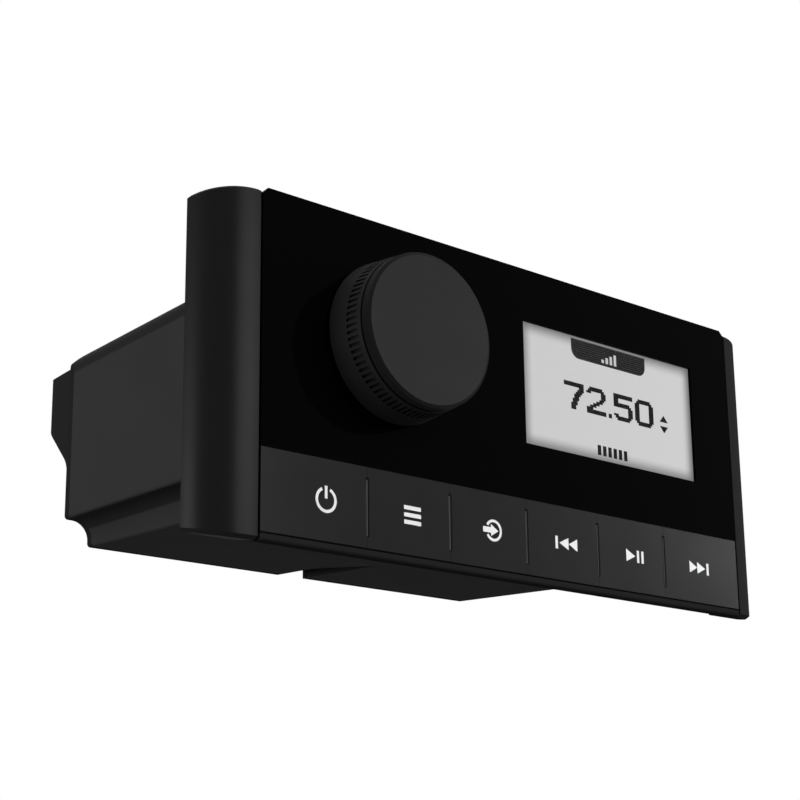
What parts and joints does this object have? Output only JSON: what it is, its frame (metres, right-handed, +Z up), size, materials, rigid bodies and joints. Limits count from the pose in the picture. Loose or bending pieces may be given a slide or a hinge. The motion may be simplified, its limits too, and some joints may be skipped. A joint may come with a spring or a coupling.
{
  "type": "marine stereo",
  "caption": "Flush-mount marine stereo: gloss face with a push-and-turn dial, display window, key strip and clip-on end caps, on a stepped case with rear sockets.",
  "frame": {"origin": "centre of the four mounting holes, on the rear plane of the mounting ears where the flange faces the dash", "axes": "+Z up, +Y into the dash (the face looks along -Y), +X to the right of someone facing the unit"},
  "size_m": [0.16, 0.1052, 0.0698],
  "materials": {
    "frame": "satin moulded",
    "gloss_panel": "piano gloss",
    "window": "clear",
    "display": "pale liquid crystal",
    "light_plastic": "matte",
    "board": "solder mask",
    "screw_steel": "plain",
    "dark_plastic": "matte",
    "silicone": "matte",
    "keys": "satin",
    "encoder_metal": "plain",
    "contact_brass": "bright",
    "dial_grip": "satin",
    "dial_cap": "satin",
    "seal": "matte",
    "end_caps": "satin moulded",
    "case": "fine grain",
    "cover": "fine grain",
    "heat_sink": "extruded",
    "can_sleeve": "sleeved",
    "copper_wire": "enamelled wire",
    "ribbon": "flat cable",
    "socket_plastic": "nylon",
    "plated": "nickel plated"
  },
  "bodies": {
    "unit": {"front_frame": "frame", "front_panel": "gloss_panel", "display_window": "window", "lcd_glass": "display", "lcd_backlight": "light_plastic", "lcd_holder": "light_plastic", "control_board": "board", "board_screws": "screw_steel", "tact_switches": "dark_plastic", "key_mat": "silicone", "encoder_body": "encoder_metal", "click_dome": "contact_brass", "shaft_seal": "seal", "flange_gasket": "seal", "case_seal": "seal", "rear_case": "case", "case_screws": "screw_steel", "rear_cover": "cover", "cover_screws": "screw_steel", "main_board": "board", "main_board_screws": "screw_steel", "heat_sink": "heat_sink", "amp_chip": "dark_plastic", "capacitors": "can_sleeve", "choke": "copper_wire", "tuner_can": "encoder_metal", "ribbon_cable": "ribbon", "ribbon_sockets": "light_plastic", "harness_socket": "socket_plastic", "harness_pins": "contact_brass", "aerial_socket": "plated", "aerial_insulator": "light_plastic", "aerial_contact": "contact_brass"},
    "key_power": {"key_power": "keys"},
    "key_menu": {"key_menu": "keys"},
    "key_source": {"key_source": "keys"},
    "key_previous": {"key_previous": "keys"},
    "key_play": {"key_play": "keys"},
    "key_next": {"key_next": "keys"},
    "push_plate": {"push_plate": "light_plastic"},
    "dial": {"dial_shaft": "encoder_metal", "dial_grip": "dial_grip", "dial_cap": "dial_cap"},
    "end_cap_left": {"end_cap_left": "end_caps"},
    "end_cap_right": {"end_cap_right": "end_caps"}
  },
  "joints": [
    {"name": "key_power_press", "type": "slide", "parent": "unit", "child": "key_power", "axis": [0, 1, 0], "range_m": [0, 0.0006], "stiffness_N_per_m": 1500, "springref_m": -0.0004},
    {"name": "key_menu_press", "type": "slide", "parent": "unit", "child": "key_menu", "axis": [0, 1, 0], "range_m": [0, 0.0006], "stiffness_N_per_m": 1500, "springref_m": -0.0004},
    {"name": "key_source_press", "type": "slide", "parent": "unit", "child": "key_source", "axis": [0, 1, 0], "range_m": [0, 0.0006], "stiffness_N_per_m": 1500, "springref_m": -0.0004},
    {"name": "key_previous_press", "type": "slide", "parent": "unit", "child": "key_previous", "axis": [0, 1, 0], "range_m": [0, 0.0006], "stiffness_N_per_m": 1500, "springref_m": -0.0004},
    {"name": "key_play_press", "type": "slide", "parent": "unit", "child": "key_play", "axis": [0, 1, 0], "range_m": [0, 0.0006], "stiffness_N_per_m": 1500, "springref_m": -0.0004},
    {"name": "key_next_press", "type": "slide", "parent": "unit", "child": "key_next", "axis": [0, 1, 0], "range_m": [0, 0.0006], "stiffness_N_per_m": 1500, "springref_m": -0.0004},
    {"name": "dial_push", "type": "slide", "parent": "unit", "child": "push_plate", "axis": [0, 1, 0], "range_m": [0, 0.0008], "stiffness_N_per_m": 2500, "springref_m": -0.0004},
    {"name": "dial_turn", "type": "hinge", "parent": "push_plate", "child": "dial", "pos_m": [-0.03663, -0.0092, 0.0093], "axis": [0, -1, 0], "continuous": true},
    {"name": "end_cap_left_pull", "type": "slide", "parent": "unit", "child": "end_cap_left", "axis": [0, -1, 0], "range_m": [0, 0.012]},
    {"name": "end_cap_right_pull", "type": "slide", "parent": "unit", "child": "end_cap_right", "axis": [0, -1, 0], "range_m": [0, 0.012]}
  ]
}
